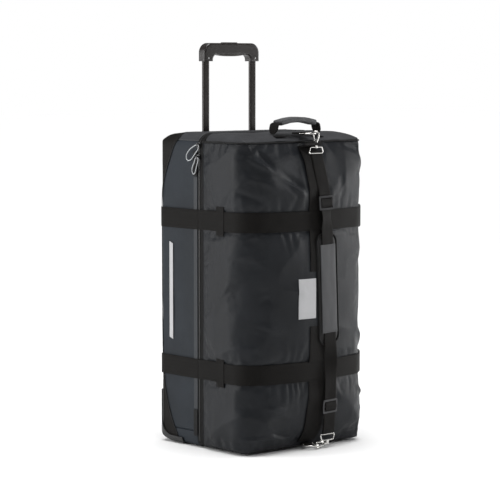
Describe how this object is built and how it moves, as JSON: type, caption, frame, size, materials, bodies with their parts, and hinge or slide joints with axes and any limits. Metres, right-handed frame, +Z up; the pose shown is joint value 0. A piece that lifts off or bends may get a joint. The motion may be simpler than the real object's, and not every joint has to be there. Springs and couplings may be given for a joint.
{
  "type": "wheeled ski gear bag",
  "caption": "Upright wheeled soft bag for ski gear: zipped lid on a stiffened rear tub, strapped and buckled, with a padded sling and a telescoping grip.",
  "frame": {"origin": "middle of the bag's footprint on the floor, with the bag standing on its wheel end", "axes": "+Z up, from the wheel end to the trolley grip; -Y towards the bulged front face; +X towards the side where the lid hinges"},
  "size_m": [0.4216, 0.3972, 1.025],
  "materials": {
    "body_fabric": "woven polyester, grey",
    "tub_fabric": "coated tarpaulin weave, dark grey",
    "webbing": "woven black webbing",
    "zip_tape": "black zip tape",
    "trim": "grey bound trim",
    "piping": "black piping",
    "padding": "padded knit over foam",
    "cord": "light grey braided cord",
    "black_plastic": "moulded, fine texture",
    "sheet_plastic": "pressed sheet",
    "grip_rubber": "soft satin",
    "tyre": "solid polyurethane",
    "tube_aluminium": "dark anodised",
    "steel": "plated",
    "bright_metal": "bright plated",
    "dark_metal": "dark grey coated"
  },
  "bodies": {
    "rear": {"axles": "steel", "back_board": "sheet_plastic", "foot_screws": "steel", "kick_plate": "black_plastic", "outer_tubes": "tube_aluminium", "rear_end_panels": "body_fabric", "rear_side_panels": "body_fabric", "rear_tub": "tub_fabric", "skid_rails": "black_plastic", "stand_feet": "black_plastic", "strap_tails": "webbing", "trolley_cover": "sheet_plastic", "trolley_foot": "black_plastic", "trolley_tray": "black_plastic", "tub_piping": "piping", "tube_guides": "black_plastic", "wheel_housing_left": "black_plastic", "wheel_housing_right": "black_plastic", "zip_flap": "trim", "zip_tape_rear": "zip_tape"},
    "lid": {"buckle_sleeves": "black_plastic", "centre_band": "webbing", "compression_straps": "webbing", "d_rings": "dark_metal", "front_end_panels": "body_fabric", "front_panel": "body_fabric", "hook_loops": "bright_metal", "ring_tabs": "webbing", "sling_pad": "padding", "sling_pad_sleeve": "padding", "sling_webbing": "webbing", "snap_hooks": "bright_metal", "strap_keepers": "webbing", "tri_glides": "dark_metal", "zip_tape_front": "zip_tape"},
    "trolley": {"grip_back": "black_plastic", "grip_front": "black_plastic", "grip_insert": "grip_rubber", "grip_screws": "steel", "inner_tubes": "tube_aluminium", "lock_plugs": "black_plastic", "button_spring": "steel"},
    "release": {"release_button": "black_plastic", "push_rods": "steel"},
    "wheel_left": {"bearings_left": "steel", "hub_left": "black_plastic", "tyre_left": "tyre"},
    "wheel_right": {"bearings_right": "steel", "hub_right": "black_plastic", "tyre_right": "tyre"},
    "carry_handle": {"carry_handle_sleeve": "padding", "carry_handle_webbing": "webbing"},
    "zip_lower": {"zip_slider_lower": "dark_metal", "zip_cord_lower": "cord"},
    "zip_upper": {"zip_slider_upper": "dark_metal", "zip_cord_upper": "cord"},
    "plug_lower": {"buckle_plug_lower": "black_plastic"},
    "plug_upper": {"buckle_plug_upper": "black_plastic"},
    "gate_top": {"hook_gate_top": "bright_metal"},
    "gate_bottom": {"hook_gate_bottom": "bright_metal"}
  },
  "joints": [
    {"name": "lid_open", "type": "hinge", "parent": "rear", "child": "lid", "pos_m": [0.2045, 0.03, 0], "axis": [0, 0, 1], "range_deg": [0, 110]},
    {"name": "trolley_slide", "type": "slide", "parent": "rear", "child": "trolley", "axis": [0, 0, 1], "range_m": [-0.225, 0]},
    {"name": "button_press", "type": "slide", "parent": "trolley", "child": "release", "axis": [0, 0, 1], "range_m": [-0.004, 0], "stiffness_N_per_m": 1500, "springref_m": 0.003, "deforming": ["button_spring"]},
    {"name": "wheel_left_spin", "type": "hinge", "parent": "rear", "child": "wheel_left", "pos_m": [-0.156, 0.15, 0.04], "axis": [1, 0, 0], "continuous": true},
    {"name": "wheel_right_spin", "type": "hinge", "parent": "rear", "child": "wheel_right", "pos_m": [0.156, 0.15, 0.04], "axis": [1, 0, 0], "continuous": true},
    {"name": "carry_handle_fold", "type": "hinge", "parent": "lid", "child": "carry_handle", "pos_m": [0, -0.107, 0.80995], "axis": [1, 0, 0], "range_deg": [-50, 65]},
    {"name": "zip_lower_slide", "type": "slide", "parent": "rear", "child": "zip_lower", "axis": [0, 0, 1], "range_m": [-0.12, 0]},
    {"name": "zip_upper_turn", "type": "hinge", "parent": "rear", "child": "zip_upper", "pos_m": [-0.16, 0.03, 0.757], "axis": [0, 1, 0], "range_deg": [0, 60]},
    {"name": "plug_lower_release", "type": "slide", "parent": "lid", "child": "plug_lower", "axis": [0, 1, 0], "range_m": [0, 0.028]},
    {"name": "plug_upper_release", "type": "slide", "parent": "lid", "child": "plug_upper", "axis": [0, 1, 0], "range_m": [0, 0.028]},
    {"name": "gate_top_swing", "type": "hinge", "parent": "lid", "child": "gate_top", "pos_m": [0.0186, -0.15956, 0.7789], "axis": [0.7071, 0.7071, 0], "range_deg": [0, 25], "stiffness_Nm_per_rad": 0.02, "springref_deg": -22.92},
    {"name": "gate_bottom_swing", "type": "hinge", "parent": "lid", "child": "gate_bottom", "pos_m": [0.03127, -0.17796, 0.00884], "axis": [0, 1, 0], "range_deg": [0, 12], "stiffness_Nm_per_rad": 0.02, "springref_deg": -22.92}
  ]
}
